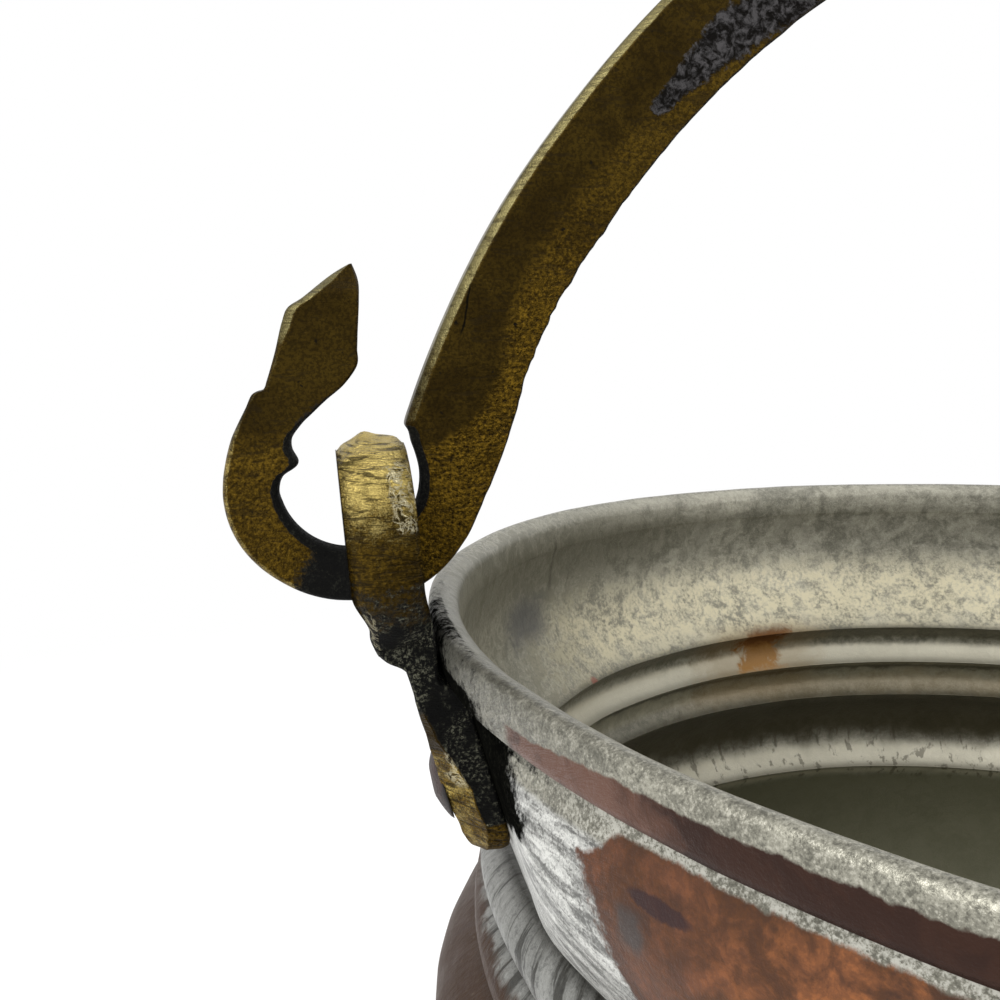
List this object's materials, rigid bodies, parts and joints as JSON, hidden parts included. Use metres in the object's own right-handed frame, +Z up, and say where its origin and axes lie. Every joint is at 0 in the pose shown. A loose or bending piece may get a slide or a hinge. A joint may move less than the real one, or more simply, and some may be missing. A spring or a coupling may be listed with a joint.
{
  "type": "metal bucket",
  "caption": "Round belly-shaped metal bucket with a turned lip, moulded neck and a flat swinging bail hooked into riveted ring ears.",
  "frame": {"origin": "middle of the flat underside the bucket stands on", "axes": "+Z up along the axis of the vessel; X through the two ears, -X is the ear seen in the picture; the bail is stored upright in the XZ plane"},
  "size_m": [0.2712, 0.2332, 0.2567],
  "materials": {
    "tinned_copper": "worn copper outside under the remains of a grey tin wash, dull mottled tin inside",
    "ear_brass": "cast brass, olive tarnish, black dirt at the foot",
    "rivet_copper": "dull red-brown copper",
    "bail_brass": "cast brass, dark olive tarnish with rough golden patches"
  },
  "bodies": {
    "pail": {"bucket_body": "tinned_copper", "left_ear": "ear_brass", "right_ear": "ear_brass", "left_ear_rivet": "rivet_copper", "right_ear_rivet": "rivet_copper"},
    "bail": {"bail": "bail_brass"}
  },
  "joints": [
    {"name": "bail_swing", "type": "hinge", "parent": "pail", "child": "bail", "pos_m": [0, 0, 0.1563], "axis": [1, 0, 0], "range_deg": [-92.5, 92.5]}
  ]
}
